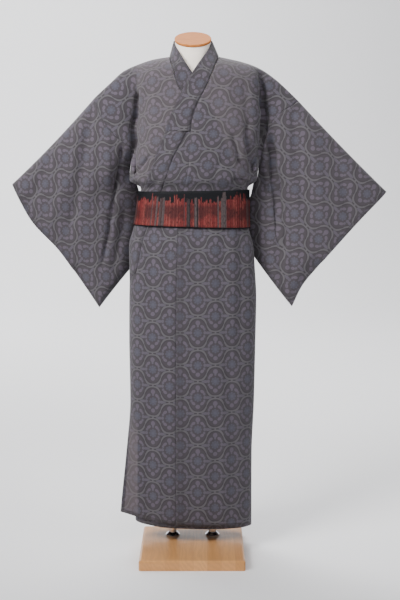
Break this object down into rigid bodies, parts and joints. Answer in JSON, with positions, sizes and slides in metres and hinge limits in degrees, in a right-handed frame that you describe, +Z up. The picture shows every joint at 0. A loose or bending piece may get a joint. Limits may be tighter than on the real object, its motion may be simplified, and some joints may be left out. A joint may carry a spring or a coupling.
{
  "type": "cotton yukata robe on a dress form stand",
  "caption": "Men's cotton yukata robe in a dark patterned weave, tied with a streaked obi, on a limbless dress form with chrome posts and a square wooden base.",
  "frame": {"origin": "centre of the base board's underside", "axes": "+Z up, -Y to the robe's front, +X to the wearer's left"},
  "size_m": [1.143, 0.3367, 1.6053],
  "materials": {
    "cotton": "matt",
    "obi_cloth": "matt",
    "form_cloth": "matt",
    "cap_wood": "satin",
    "base_wood": "gloss",
    "chrome": "polished"
  },
  "bodies": {
    "root": {"base": "base_wood", "body_left": "cotton", "body_right": "cotton", "collar": "cotton", "flange_left": "chrome", "flange_right": "chrome", "form": "form_cloth", "neck_cap": "cap_wood", "obi": "obi_cloth", "okumi_left": "cotton", "okumi_right": "cotton", "post_left": "chrome", "post_right": "chrome", "sleeve_left": "cotton", "sleeve_right": "cotton"}
  },
  "joints": []
}
